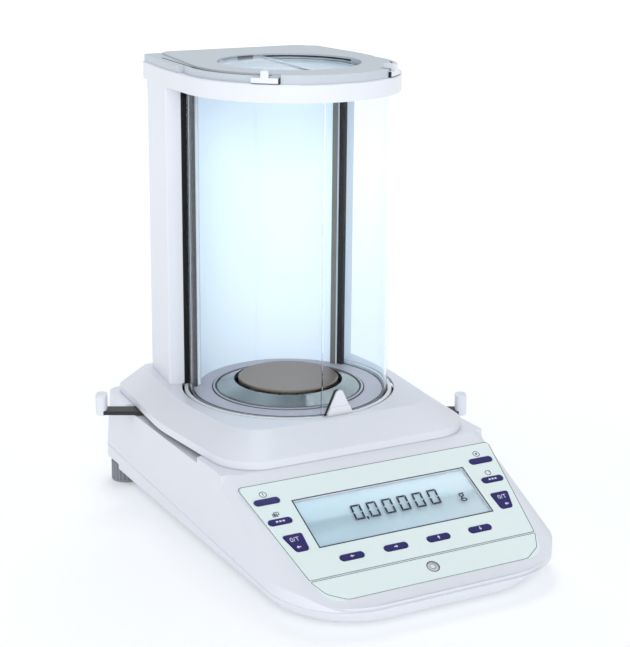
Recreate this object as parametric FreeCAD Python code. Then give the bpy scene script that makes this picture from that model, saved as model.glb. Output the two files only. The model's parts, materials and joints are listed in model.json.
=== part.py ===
"""Analytical balance with a round glass draft shield, one STEP file per piece.

Millimetres, +Z up, +Y to the back. The origin is the centre of the weighing pan's top face.
Azimuths are in degrees about the pan's axis, from the front (-Y) towards the right (+X).
"""
import FreeCAD, Part
import math
import os

V = FreeCAD.Vector
ORIGIN = V(0, 0, 0)
UP = V(0, 0, 1)

# ---- heights, measured from the pan's top face ----
BENCH_Z = -104.5
TRAY_BASE_Z = -101.0
SEAM_REAR_Z = -73.0
SEAM_FRONT_Z = -88.0
COVER_TOP_Z = -28.3
DECK_Z = -8.0
CAP_Z = 230.5
CAP_LOWER_THICK = 13.5
CAP_SEAM_Z = CAP_Z + CAP_LOWER_THICK
CAP_UPPER_THICK = 6.5
CAP_TOP_Z = CAP_SEAM_Z + CAP_UPPER_THICK

# ---- base housing, seen from above ----
BASE_REAR_Y = 116.0
BASE_FRONT_Y = -246.0
BASE_REAR_HALF = 115.0
BASE_FRONT_HALF = BASE_REAR_HALF - 1.0
BASE_TOP_HALF = BASE_REAR_HALF - 3.0
TRAY_BASE_HALF = BASE_REAR_HALF - 12.0
TRAY_BASE_FRONT_Y = -236.0
BASE_FRONT_RADIUS = 60.0
BASE_REAR_RADIUS = 12.0
HOUSING_WALL = 2.5
SEAM_REVEAL = 0.45

# ---- hood, the raised cover around the chamber floor ----
HOOD_MID_HALF = BASE_TOP_HALF + 0.8
HOOD_END_HALF = HOOD_MID_HALF - 9.8
HOOD_FRONT_Y = -115.5
HOOD_REAR_Y = 112.0
HOOD_SKIRT_TOP_Z = -22.0
HOOD_SKIRT_Z = -28.0
PLATEAU_MID_HALF = HOOD_MID_HALF - 18.8
PLATEAU_END_HALF = PLATEAU_MID_HALF - 10.0
PLATEAU_FRONT_Y = -89.0
PLATEAU_REAR_Y = 104.0

# ---- console, in its own plane: x across, t up the slope, h out of it ----
PANEL_TILT = 25.46
PANEL_Y = -145.66
PANEL_Z = -42.59
CONSOLE_HALF = BASE_TOP_HALF
CONSOLE_EDGE_RADIUS = 16.0
CONSOLE_DEPTH = 62.0
CONSOLE_START_Y = -112.0
OVERLAY_TOP_T = 21.0
OVERLAY_BASE_T = -72.9
OVERLAY_TOP_HALF = 107.8
OVERLAY_BASE_HALF = 93.6
OVERLAY_THICK = 0.4
STRIP_TOP_T = -73.6
STRIP_BASE_T = -95.0
STRIP_TOP_HALF = 93.2
STRIP_BASE_HALF = 76.0
WINDOW_HALF = 72.6
WINDOW_BASE_T = -46.3
WINDOW_THICK = 1.5
DISPLAY_THICK = 4.0
KEY_TRAVEL = 0.5
KEY_GAP = 0.4
KEY_HEIGHT = 0.9
KEY_STEM = 3.0
LEVEL_T = -83.2
LEVEL_R = 4.75
LEVEL_DEPTH = 7.0

# ---- weighing chamber ----
GLASS_R = 79.2
GLASS_THICK = 2.0
DOOR_SPLIT_AZ = -8.5
DOOR_REAR_AZ = 124.0
DOOR_GAP_AZ = 0.35
DOOR_TRAVEL = 54.0
RING_GAP = 1.0
RING_WIDTH = 2.8
RING_IN_R = GLASS_R + RING_GAP
RING_OUT_R = RING_IN_R + RING_WIDTH
HOOD_BORE_R = RING_OUT_R + 2.0
RING_TOP_Z = -8.2
CARRIER_Z = -13.8
CARRIER_THICK = 1.6
FLOOR_R = GLASS_R - 2.7
FLOOR_THICK = 3.0
WALL_R = GLASS_R - 2.9
WALL_THICK = 3.2
WALL_LIP_R = WALL_R - 5.8
WALL_AZ = 118.5
WALL_LIP_AZ = 4.0
STRIP_IN_R = WALL_R - 3.5
STRIP_AZ = 4.0
SEAL_WIDTH = 5.0
SEAL_DEPTH = 3.6
SEAL_GAP = 0.3

# ---- weighing pan and its draught ring ----
PAN_R = 40.0
PAN_THICK = 2.6
DRAFT_GAP = 3.4
DRAFT_WIDTH = 13.9
DRAFT_R_IN = PAN_R + DRAFT_GAP
DRAFT_R_OUT = DRAFT_R_IN + DRAFT_WIDTH
DRAFT_TOP_Z = -2.2
DRAFT_THICK = 1.2
DRAFT_SEAT_R = DRAFT_R_OUT + 2.9
PAN_STEM_R = 6.0
STEM_COLLAR = 4.0
STEM_FIT = 0.05

# ---- tower behind the chamber ----
TOWER_FRONT_HALF = GLASS_R + 5.1
TOWER_FRONT_Y = 44.6
TOWER_LIP_HALF = GLASS_R - 6.3
TOWER_LIP_Y = 40.6
TOWER_REAR_HALF = TOWER_FRONT_HALF - 7.3
TOWER_REAR_Y = 100.0
TOWER_BORE_R = GLASS_R + 1.4
TOWER_WALL = 3.0

# ---- cap and lid ----
CAP_R = GLASS_R + 6.8
CAP_SIDE_Y = 45.0
CAP_SIDE_HALF = CAP_R - 1.0
CAP_REAR_Y = 104.0
CAP_REAR_HALF = CAP_SIDE_HALF - 6.0
CAP_REAR_RADIUS = 8.0
CAP_INSET = 1.2
CAP_CLEAR_R = GLASS_R - 13.2
LID_R = CAP_CLEAR_R - 11.0
LID_LEDGE = 4.0
LID_GAP = 0.5
LID_AZ = -3.0
LEDGE_Z = CAP_TOP_Z - 1.3
LEDGE_AZ = 31.8
PLATE_SIDE_HALF = GLASS_R - 2.7
PLATE_SIDE_Y = 8.0
PLATE_REAR_HALF = CAP_REAR_HALF - 15.0
PLATE_REAR_Y = 101.0
EDGE_ROUND = 0.9
HANDLE_AZ = 39.5
HANDLE_SPAN = 13.4
HANDLE_HALF_AZ = 1.9
HANDLE_RISE = 2.7
HANDLE_GAP = 0.5
TRACK_R = CAP_R - 3.4
TRACK_END_AZ = 102.0
GROOVE_WIDTH = 1.6
GROOVE_END_Y = 72.0
SLOT_R = GLASS_R - 1.0
SLOT_WIDTH = 2.4
SLOT_PLAY_AZ = 2.5

# ---- side levers ----
LEVER_AZ_LEFT = -117.0
LEVER_AZ_RIGHT = 63.0
LEVER_REACH_LEFT = BASE_REAR_HALF + 35.0
LEVER_REACH_RIGHT = BASE_REAR_HALF + 24.5
LEVER_Z = -31.8
LEVER_THICK = 3.2
LEVER_WIDTH = 13.0
LEVER_RING_IN = GLASS_R + 6.8
LEVER_RING_OUT = LEVER_RING_IN + 11.0
KNOB_BASE_Z = -32.6
KNOB_HEIGHT = 17.0
KNOB_LONG = 13.5
KNOB_WIDE = 9.0
SLOT_FLOOR_Z = -32.4
DOG_AZ = 24.0
DOG_R = 2.0
DOG_PLACE_R = LEVER_RING_IN + 3.5

# ---- feet ----
FOOT_R = 13.0
FOOT_HEIGHT = 16.5
FOOT_X = BASE_REAR_HALF - 15.0
FOOT_REAR_Y = 101.0
FOOT_FRONT_Y = -178.0
FOOT_FRONT_X = 70.0
FOOT_BAY = 19.0
FOOT_BAY_Z = -84.0
SCREW_R = 4.0
SCREW_TOP_Z = -62.0
SCREW_FIT = 0.05

# ---- inside ----
CHASSIS_THICK = 4.0
CHASSIS_Z = -94.0
CHASSIS_HALF = BASE_TOP_HALF - 20.0
CHASSIS_FRONT_Y = -120.0
CHASSIS_REAR_Y = 72.0
POST_X = 62.0
POST_Y = 90.0
POST_R = 5.0
POST_FIT = 0.3
CELL_HALF = 24.0
CELL_FRONT_Y = -18.0
CELL_REAR_Y = 70.0
CELL_TOP_Z = -42.0
CAL_WEIGHT_R = 11.0
CAL_WEIGHT_HALF = 16.0
CAL_Y = -44.0
JACK_R = 2.8
JACK_DEPTH = 9.5
JACK_X = 55.0
SOCKET_Z = -50.0
PORT_X = 20.0
PORT_DEPTH = 3.5
PORT_PITCH = 2.77


def polar(azimuth, radius, z):
    """Point at an azimuth and radius about the pan's axis."""
    turn = math.radians(azimuth)
    return V(radius * math.sin(turn), -radius * math.cos(turn), z)


def rounded_wire(corners, z=0.0):
    """Closed wire through (x, y, radius) corners, each rounded by a tangent arc."""
    spans = []
    count = len(corners)
    for i in range(count):
        x, y, radius = corners[i]
        corner = V(x, y, z)
        before = V(corners[i - 1][0], corners[i - 1][1], z) - corner
        after = V(corners[(i + 1) % count][0], corners[(i + 1) % count][1], z) - corner
        before.normalize()
        after.normalize()
        half_angle = before.getAngle(after) / 2
        tangent = radius / math.tan(half_angle)
        middle = before + after
        middle.normalize()
        centre = corner + middle * (radius / math.sin(half_angle))
        spans.append((corner + before * tangent, centre - middle * radius, corner + after * tangent))
    edges = []
    for i in range(count):
        start, top, end = spans[i]
        edges.append(Part.Arc(start, top, end).toShape())
        follow = spans[(i + 1) % count][0]
        if (follow - end).Length > 1e-6:
            edges.append(Part.makeLine(end, follow))
    return Part.Wire(edges)


def prism(corners, z, height):
    """Solid of a rounded outline, from z up."""
    return Part.Face(rounded_wire(corners, z)).extrude(V(0, 0, height))


def mirrored(points):
    """Right-hand outline points (x, y, radius) from front to back, closed on the left."""
    return points + [(-x, y, radius) for x, y, radius in reversed(points)]


def shrunk(corners, amount):
    """The outline moved inwards, or outwards if the amount is negative."""
    count = len(corners)
    moved = []
    for i in range(count):
        here = V(corners[i][0], corners[i][1], 0)
        before = V(corners[i - 1][0], corners[i - 1][1], 0)
        after = V(corners[(i + 1) % count][0], corners[(i + 1) % count][1], 0)
        first = (here - before).normalize()
        second = (after - here).normalize()
        inward_first = V(-first.y, first.x, 0)
        inward_second = V(-second.y, second.x, 0)
        bisector = inward_first + inward_second
        step = bisector * (2 * amount / bisector.dot(bisector))
        moved.append((here.x + step.x, here.y + step.y, max(corners[i][2] - amount, 0.5)))
    return moved


def ring(inner, outer, z_low, z_high):
    """Flat ring about the pan's axis."""
    body = Part.makeCylinder(outer, z_high - z_low, V(0, 0, z_low))
    return body.cut(Part.makeCylinder(inner, z_high - z_low, V(0, 0, z_low)))


def sector(inner, outer, z_low, z_high, az_from, az_to):
    """Part of a ring between two azimuths."""
    corners = [V(0, -inner, z_low), V(0, -outer, z_low), V(0, -outer, z_high), V(0, -inner, z_high)]
    face = Part.Face(Part.makePolygon(corners + corners[:1]))
    face.rotate(ORIGIN, UP, az_from)
    return face.revolve(ORIGIN, UP, az_to - az_from)


def box(x_low, x_high, y_low, y_high, z_low, z_high):
    """Box between two corners."""
    return Part.makeBox(x_high - x_low, y_high - y_low, z_high - z_low, V(x_low, y_low, z_low))


def side_prism(corners, half_width):
    """Solid of a side profile, given as (y, z, radius) corners, across the object."""
    face = Part.Face(rounded_wire(corners))
    solid = face.extrude(V(0, 0, 2 * half_width))
    solid.rotate(ORIGIN, V(1, 1, 1), 120)
    solid.translate(V(-half_width, 0, 0))
    return solid


def on_console(shape):
    """A shape built flat in the console's plane, moved to its place."""
    placed = shape.copy()
    placed.rotate(ORIGIN, V(1, 0, 0), PANEL_TILT)
    placed.translate(V(0, PANEL_Y, PANEL_Z))
    return placed


def joined(shapes):
    """One solid of several that touch or overlap."""
    whole = shapes[0]
    for shape in shapes[1:]:
        whole = whole.fuse(shape)
    return whole.removeSplitter()


# ---- base housing ----

def base_outline(front_half, rear_half, front_y, amount):
    """Plan of the base, wider at the front."""
    right = [(front_half, front_y, BASE_FRONT_RADIUS), (rear_half, BASE_REAR_Y, BASE_REAR_RADIUS)]
    return shrunk(mirrored(right), amount)


def seam_z(y):
    """Height of the seam between tray and cover."""
    share = (BASE_REAR_Y - y) / (BASE_REAR_Y - BASE_FRONT_Y)
    return SEAM_REAR_Z + share * (SEAM_FRONT_Z - SEAM_REAR_Z)


def below_seam(drop=0.0):
    """Everything under the seam plane."""
    margin = 40
    rear = BASE_REAR_Y + margin
    front = BASE_FRONT_Y - margin
    floor = BENCH_Z - margin
    profile = [(front, floor, 0.1), (rear, floor, 0.1), (rear, seam_z(rear) - drop, 0.1),
               (front, seam_z(front) - drop, 0.1)]
    return side_prism(profile, BASE_FRONT_HALF + margin)


def base_loft(amount):
    """Outer form of the base: widest near the seam, drawn in above and below."""
    waist_z = SEAM_REAR_Z
    floor = TRAY_BASE_Z + amount
    base = base_outline(TRAY_BASE_HALF, TRAY_BASE_HALF, TRAY_BASE_FRONT_Y, amount)
    waist = base_outline(BASE_FRONT_HALF, BASE_REAR_HALF, BASE_FRONT_Y, amount)
    top = base_outline(BASE_TOP_HALF, BASE_TOP_HALF - 2, BASE_FRONT_Y + 2, amount)
    low_waist_z = SEAM_FRONT_Z
    lower = Part.makeLoft([rounded_wire(base, floor), rounded_wire(waist, low_waist_z)], True, True)
    middle = prism(waist, low_waist_z, waist_z - low_waist_z)
    upper = Part.makeLoft([rounded_wire(waist, waist_z), rounded_wire(top, DECK_Z)], True, True)
    return joined([lower, middle, upper])


def cover_profile(amount):
    """Side profile of the upper shell: flat deck, console slope, rounded front."""
    slope = math.tan(math.radians(PANEL_TILT))
    top = COVER_TOP_Z - amount
    lift = amount / math.cos(math.radians(PANEL_TILT))
    start_y = PANEL_Y + (top - PANEL_Z + lift) / slope
    front_y = BASE_FRONT_Y - 5
    break_y = -239.5 + amount
    break_z = PANEL_Z - lift + (break_y - PANEL_Y) * slope
    return [(front_y, BENCH_Z, 0.5), (BASE_REAR_Y + 5, BENCH_Z, 0.5), (BASE_REAR_Y + 5, top, 0.5),
            (start_y, top, 3.0), (break_y, break_z, 9.0), (front_y, break_z - 10.0, 0.5)]


def console_form(amount):
    """Block along the console's slope with rounded upper edges."""
    half = CONSOLE_HALF - amount
    foot = CONSOLE_HALF + 12 - amount
    section = [(foot, -CONSOLE_DEPTH, 0.5), (half, -amount, CONSOLE_EDGE_RADIUS),
               (-half, -amount, CONSOLE_EDGE_RADIUS), (-foot, -CONSOLE_DEPTH, 0.5)]
    length = 190
    face = Part.Face(rounded_wire(section))
    block = face.extrude(V(0, 0, length))
    block.rotate(ORIGIN, V(1, 0, 0), 90)
    block.translate(V(0, length - 140, 0))
    return on_console(block)


def cover_form(amount):
    """Upper shell's solid form, before it is hollowed."""
    form = base_loft(amount).common(side_prism(cover_profile(amount), BASE_REAR_HALF + 10))
    join_y = CONSOLE_START_Y + amount
    rear = form.common(box(-200, 200, join_y, 200, -200, 100))
    front = form.common(box(-200, 200, -400, join_y + 0.01, -200, 100))
    return joined([rear, front.common(console_form(amount))])


def console_holes():
    """Openings through the console for window, keys and level."""
    cuts = [flat_block(-WINDOW_HALF, WINDOW_HALF, WINDOW_BASE_T, 0, -8, 3)]
    for spot in key_spots():
        cuts.append(key_block(spot, -8, 3, KEY_GAP))
    cuts.append(Part.makeCylinder(LEVEL_R, 12, V(0, LEVEL_T, -9)))
    return [on_console(cut) for cut in cuts]


def make_cover():
    """Upper shell: deck, shoulders and console in one moulding."""
    shell = cover_form(0).cut(cover_form(HOUSING_WALL))
    shell = shell.cut(below_seam())
    well_r = LEVER_RING_OUT + 1.0
    for az_from, az_to in lever_slots():
        floor = sector(well_r, 150, SLOT_FLOOR_Z - HOUSING_WALL, SLOT_FLOOR_Z, az_from - 2, az_to + 2)
        shell = shell.fuse(floor.common(cover_form(0)))
        shell = shell.cut(sector(well_r - 2, 170, SLOT_FLOOR_Z, COVER_TOP_Z + 10, az_from, az_to))
    shell = shell.cut(Part.makeCylinder(well_r, 60, V(0, 0, COVER_TOP_Z - 50)))
    for x in (-POST_X, POST_X):
        shell = shell.cut(Part.makeCylinder(POST_R + POST_FIT, 60, V(x, POST_Y, COVER_TOP_Z - 30)))
    for hole in console_holes() + socket_holes():
        shell = shell.cut(hole)
    return shell.removeSplitter()


def foot_bays(amount):
    """Corner recesses over the two rear feet."""
    reach = FOOT_BAY + amount
    return [box(x - reach, x + 60, FOOT_REAR_Y - reach, 200, -200, FOOT_BAY_Z + amount) if x > 0 else
            box(x - 60, x + reach, FOOT_REAR_Y - reach, 200, -200, FOOT_BAY_Z + amount)
            for x in (-FOOT_X, FOOT_X)]


def tray_form(amount):
    """Tray's solid form below the seam, with the corner recesses."""
    form = base_loft(amount)
    for bay in foot_bays(amount):
        form = form.cut(bay)
    return form


def make_tray():
    """Lower tray, with a shadow line round its rim and threaded seats for the rear feet."""
    tray = tray_form(0).common(below_seam())
    tray = tray.cut(tray_form(HOUSING_WALL).common(below_seam(-10)))
    reveal = base_loft(-5).cut(base_loft(SEAM_REVEAL))
    tray = tray.cut(reveal.common(below_seam()).cut(below_seam(SEAM_REVEAL)))
    for x in (-FOOT_X, FOOT_X):
        tray = tray.fuse(Part.makeCylinder(SCREW_R + 3.0, 10, V(x, FOOT_REAR_Y, FOOT_BAY_Z)))
        tray = tray.cut(Part.makeCylinder(SCREW_R + SCREW_FIT, 30, V(x, FOOT_REAR_Y, FOOT_BAY_Z - 5)))
    return tray.removeSplitter()


# ---- keys, window and display ----

def flat_block(x_low, x_high, t_low, t_high, h_low, h_high):
    """Box in the console's own plane."""
    return box(x_low, x_high, t_low, t_high, h_low, h_high)


def key_spots():
    """Each key: name, centre x, centre t, width, depth and shape."""
    spots = []
    for side, sign in (("left", -1), ("right", 1)):
        spots.append(("key_power_" + side, sign * 91.1, 3.5, 20.0, 5.4, "pill"))
        spots.append(("key_menu_" + side, sign * 89.8, -16.7, 18.4, 5.4, "pill"))
        spots.append(("key_tare_" + side, sign * 87.2, -38.2, 15.4, 16.0, "shield"))
    for number, x in enumerate((-53.4, -17.8, 17.8, 53.4)):
        spots.append(("key_arrow_%d" % (number + 1), x, -59.6, 19.0, 5.4, "pill"))
    return spots


def key_outline(spot, gap):
    """Outline of a key, grown by a gap."""
    name, x, t, width, depth, shape = spot
    half = width / 2
    rise = depth / 2
    if shape == "pill":
        corner = rise * 0.98
        outline = [(half, -rise, corner), (half, rise, corner), (-half, rise, corner), (-half, -rise, corner)]
    else:
        inner = -1 if x > 0 else 1
        outline = [(half - 1.0, -rise, 2.5), (half, rise, 1.6), (-half, rise, 1.6), (-half + 4.6, -rise, 2.5)]
        if inner < 0:
            outline = [(-px, pt, radius) for px, pt, radius in reversed(outline)]
    grown = shrunk(outline, -gap)
    return [(px + x, pt + t, radius) for px, pt, radius in grown]


def key_block(spot, h_low, h_high, gap):
    """Solid with a key's outline."""
    return prism(key_outline(spot, gap), h_low, h_high - h_low)


def make_key(spot):
    """Key cap with a plunger behind it."""
    cap = key_block(spot, -HOUSING_WALL, KEY_HEIGHT, 0)
    stem = Part.makeCylinder(1.5, KEY_STEM + 0.5, V(spot[1], spot[2], -HOUSING_WALL - KEY_STEM))
    return on_console(joined([cap, stem]))


def overlay_outline():
    """Trapezoid of the console's overlay sheet."""
    right = [(OVERLAY_BASE_HALF, OVERLAY_BASE_T, 2.0), (OVERLAY_TOP_HALF, OVERLAY_TOP_T, 6.0)]
    return mirrored(right)


def make_overlay():
    """Printed overlay sheet, open at the window and the keys."""
    sheet = prism(overlay_outline(), 0, OVERLAY_THICK)
    sheet = sheet.cut(flat_block(-WINDOW_HALF, WINDOW_HALF, WINDOW_BASE_T, 0, -1, 2))
    for spot in key_spots():
        sheet = sheet.cut(key_block(spot, -1, 2, KEY_GAP))
    return on_console(sheet)


def make_strip():
    """Lower strip under the overlay, with the hole of the spirit level."""
    right = [(STRIP_BASE_HALF + 12, STRIP_BASE_T, 16.0), (STRIP_TOP_HALF, STRIP_TOP_T, 0.5)]
    plate = prism(mirrored(right), 0, OVERLAY_THICK)
    return on_console(plate.cut(Part.makeCylinder(LEVEL_R, 4, V(0, LEVEL_T, -1))))


def make_window():
    """Clear window over the display, its face just under the overlay's."""
    gap = 0.2
    low = OVERLAY_THICK - 0.7 - WINDOW_THICK
    pane = flat_block(-WINDOW_HALF + gap, WINDOW_HALF - gap, WINDOW_BASE_T + gap, -gap, low, low + WINDOW_THICK)
    return on_console(pane)


def make_display():
    """Display glass under the window."""
    top = OVERLAY_THICK - 0.7 - WINDOW_THICK
    low = top - DISPLAY_THICK
    pane = flat_block(-WINDOW_HALF + 0.6, WINDOW_HALF - 0.6, WINDOW_BASE_T + 0.6, -0.6, low, top)
    return on_console(pane)


def make_key_board():
    """Circuit board behind the console, which the keys and the display sit on."""
    top = -HOUSING_WALL - KEY_STEM - KEY_TRAVEL - 0.4
    board = flat_block(-98, 98, -66, 8, top - 1.6, top)
    post = []
    for x in (-76, 76):
        for t in (-8, -27):
                post.append(Part.makeCylinder(2.0, -HOUSING_WALL - top, V(x, t, top)))
    return on_console(joined([board] + post))


def make_level():
    """Spirit level: cup, liquid glass and bubble."""
    cup = Part.makeCylinder(LEVEL_R, LEVEL_DEPTH, V(0, LEVEL_T, -LEVEL_DEPTH))
    cup = cup.cut(Part.makeCylinder(LEVEL_R - 0.8, LEVEL_DEPTH, V(0, LEVEL_T, -LEVEL_DEPTH + 1.2)))
    glass = Part.makeCylinder(LEVEL_R - 0.8, LEVEL_DEPTH - 1.6, V(0, LEVEL_T, -LEVEL_DEPTH + 1.2))
    return on_console(cup), on_console(glass)


# ---- hood and chamber floor ----

def hood_outline(mid_half, end_half, front_y, rear_y, front_radius, rear_radius):
    """Plan of the hood at one height, widest at the middle of its bowed sides."""
    right = [(end_half, front_y, front_radius), (mid_half, 0.0, 150.0), (end_half, rear_y, rear_radius)]
    return mirrored(right)


def hood_form(amount):
    """Hood's solid form: plateau, falling shoulders and skirt."""
    plateau = shrunk(hood_outline(PLATEAU_MID_HALF, PLATEAU_END_HALF, PLATEAU_FRONT_Y, PLATEAU_REAR_Y,
                                  30.0, 8.0), amount)
    skirt = shrunk(hood_outline(HOOD_MID_HALF, HOOD_END_HALF, HOOD_FRONT_Y, HOOD_REAR_Y, 34.0, 12.0), amount)
    low = HOOD_SKIRT_TOP_Z - amount * 0.4
    top = Part.makeLoft([rounded_wire(skirt, low), rounded_wire(plateau, DECK_Z - amount)], True, True)
    side = prism(skirt, low - 14.0, 14.0)
    return joined([top, side])


def make_hood():
    """Cover around the chamber floor; the lever arms leave under its skirt."""
    hood = hood_form(0).cut(hood_form(HOUSING_WALL))
    hood = hood.cut(box(-200, 200, -200, 200, HOOD_SKIRT_Z - 40, HOOD_SKIRT_Z))
    hood = hood.cut(cover_form(0))
    for x in (-POST_X, POST_X):
        hood = hood.cut(Part.makeCylinder(POST_R + POST_FIT, 60, V(x, POST_Y, -50)))
    return hood.cut(Part.makeCylinder(HOOD_BORE_R, 60, V(0, 0, -50)))


def lever_slots():
    """Azimuth ranges that the two lever arms need."""
    play = math.degrees(LEVER_WIDTH / 2 / LEVER_RING_OUT) + 1.0
    return ((LEVER_AZ_LEFT - play, LEVER_AZ_LEFT + DOOR_TRAVEL + play),
            (LEVER_AZ_RIGHT - play, LEVER_AZ_RIGHT + DOOR_TRAVEL + play))


def make_turntable():
    """Black casting that carries the floor disc, the door rails and the lever ring."""
    outer = LEVER_RING_IN - STEM_FIT
    rail_bed = CARRIER_Z - 0.1
    flange_z = LEVER_Z - 0.1
    body = joined([ring(24, outer, rail_bed - 3.0, rail_bed),
                   ring(24, FLOOR_R - 0.2, rail_bed - 1.0, DECK_Z - 0.7 - FLOOR_THICK),
                   ring(outer - 8.0, outer, flange_z - 2.5, rail_bed),
                   ring(outer - 8.0, LEVER_RING_OUT, flange_z - 2.5, flange_z)])
    legs = [Part.makeCylinder(5.0, flange_z - CHASSIS_Z - CHASSIS_THICK,
                              polar(azimuth, outer - 5.0, CHASSIS_Z + CHASSIS_THICK))
            for azimuth in (50, 130, 230, 310)]
    return joined([body] + legs)


def make_floor():
    """Floor disc of the chamber, with a raised seat for the draught ring."""
    top = DECK_Z - 0.7
    disc = ring(30, FLOOR_R, top - FLOOR_THICK, top)
    lip = ring(DRAFT_R_OUT + 0.6, DRAFT_SEAT_R, top - 0.1, top + 0.9)
    return joined([disc, lip])


# ---- pan ----

def turned(points):
    """Solid turned about the pan's axis from (radius, z) points."""
    corners = [V(radius, 0, z) for radius, z in points]
    return Part.Face(Part.makePolygon(corners + corners[:1])).revolve(ORIGIN, UP, 360)


def make_pan():
    """Weighing pan: flat disc with a turned-down rim and a socket underneath."""
    socket_r = PAN_STEM_R + 3.0
    pan = turned([(0, 0), (PAN_R - 0.8, 0), (PAN_R, -0.8), (PAN_R, -PAN_THICK), (PAN_R - 1.2, -PAN_THICK),
                  (PAN_R - 1.2, -1.4), (socket_r, -1.4), (socket_r, -11.0), (0, -11.0)])
    return pan.cut(Part.makeCylinder(PAN_STEM_R + STEM_FIT, 8.0, V(0, 0, -11.0)))


def make_pan_stem():
    """Post of the load cell, which the pan's socket drops over."""
    post = Part.makeCylinder(PAN_STEM_R, -3.2 - CELL_TOP_Z, V(0, 0, CELL_TOP_Z))
    collar = Part.makeCylinder(PAN_STEM_R + 5, STEM_COLLAR, V(0, 0, CELL_TOP_Z))
    return joined([post, collar])


def make_draft_ring():
    """Polished conical ring around the pan."""
    foot = DECK_Z - 0.7
    return turned([(DRAFT_R_IN, DRAFT_TOP_Z), (DRAFT_R_OUT - 1.0, foot + 1.2), (DRAFT_R_OUT, foot + 0.6),
                   (DRAFT_R_OUT, foot), (DRAFT_R_OUT - 3.0, foot), (DRAFT_R_IN, DRAFT_TOP_Z - DRAFT_THICK)])


# ---- doors ----

def door_limits(side):
    """Azimuths of a door's front and rear edges, front first."""
    if side == "right":
        return DOOR_SPLIT_AZ + DOOR_GAP_AZ, DOOR_REAR_AZ
    return -DOOR_REAR_AZ, DOOR_SPLIT_AZ - DOOR_GAP_AZ


def make_door_glass(side):
    """Curved glass of one door."""
    low, high = door_limits(side)
    return sector(GLASS_R - GLASS_THICK, GLASS_R, CARRIER_Z + CARRIER_THICK, CAP_Z + 4.0, low, high)


def make_door_ring(side):
    """Lower rail of one door: a foot under the glass and a raised white ring outside it."""
    low, high = door_limits(side)
    foot = sector(GLASS_R - GLASS_THICK, RING_OUT_R, CARRIER_Z, CARRIER_Z + CARRIER_THICK, low, high)
    rim = sector(RING_IN_R, RING_OUT_R, CARRIER_Z, RING_TOP_Z, low, high)
    rail = joined([foot, rim])
    if side == "right":
        rail = joined([rail, dog_lug()])
    return rail


def dog_lug():
    """Ear of the right-hand rail, with the hole that the lever ring's pin drives."""
    ear = sector(RING_OUT_R - 1, LEVER_RING_IN + 7, CARRIER_Z, CARRIER_Z + 1.6, DOG_AZ - 4, DOG_AZ + 4)
    return ear.cut(Part.makeCylinder(DOG_R + SCREW_FIT, 10, polar(DOG_AZ, DOG_PLACE_R, CARRIER_Z - 5)))


def make_door_top(side):
    """Upper rail on the glass, with the stem that rises through the cap's slot."""
    low, high = door_limits(side)
    top = CAP_Z + 9.0
    rail = sector(GLASS_R - GLASS_THICK - 0.6, GLASS_R + 0.6, CAP_Z + 2.5, top, low, high)
    rail = rail.cut(sector(GLASS_R - GLASS_THICK, GLASS_R, CAP_Z + 2.4, CAP_Z + 4.0, low, high))
    azimuth = HANDLE_AZ if side == "right" else -HANDLE_AZ
    stem = sector(SLOT_R - 0.8, SLOT_R + 0.8, top - 0.5, CAP_TOP_Z + HANDLE_RISE - 0.8,
                  azimuth - HANDLE_HALF_AZ + 0.5, azimuth + HANDLE_HALF_AZ - 0.5)
    return joined([rail, stem])


def make_handle(side):
    """Grip of one door: a tab over the stem and a bar that hugs the cap's rim."""
    azimuth = HANDLE_AZ if side == "right" else -HANDLE_AZ
    low, high = azimuth - HANDLE_HALF_AZ, azimuth + HANDLE_HALF_AZ
    inner = PLATE_SIDE_HALF + HANDLE_GAP
    outer = CAP_R + HANDLE_GAP
    top = CAP_TOP_Z + HANDLE_RISE
    tab = sector(inner, outer, LEDGE_Z + HANDLE_GAP, top, low, high)
    tab = tab.cut(sector(SLOT_R - 0.85, SLOT_R + 0.85, LEDGE_Z - 1, top - 0.75, low + 0.45, high - 0.45))
    bar = sector(TRACK_R + HANDLE_GAP, outer, CAP_SEAM_Z + HANDLE_GAP, LEDGE_Z - 1.0,
                 azimuth - HANDLE_SPAN / 2, azimuth + HANDLE_SPAN / 2)
    leg = sector(TRACK_R + HANDLE_GAP, outer, CAP_SEAM_Z + HANDLE_GAP, top, low, high)
    return joined([tab, leg, bar])


def make_front_grip():
    """Triangular grip on the front end of the right-hand door's lower ring."""
    half = 11.5
    height = 19.0
    outline = [(-half, 0, 1.2), (half, 0, 1.2), (2.2, height, 2.0), (-2.2, height, 2.0)]
    plate = Part.Face(rounded_wire(outline)).extrude(V(0, 0, 2.4))
    plate.rotate(ORIGIN, V(1, 0, 0), 90)
    plate.translate(V(0, -GLASS_R - 0.5, RING_TOP_Z))
    step = Part.Face(rounded_wire([(-half, 0, 1.2), (half, 0, 1.2), (half - 3.2, 6.5, 1.0),
                                   (-half + 3.2, 6.5, 1.0)])).extrude(V(0, 0, 3.4))
    step.rotate(ORIGIN, V(1, 0, 0), 90)
    step.translate(V(0, -GLASS_R - 0.5, RING_TOP_Z))
    grip = joined([plate, step])
    grip.rotate(ORIGIN, UP, DOOR_SPLIT_AZ + 9.5)
    return grip


# ---- levers ----

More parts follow.
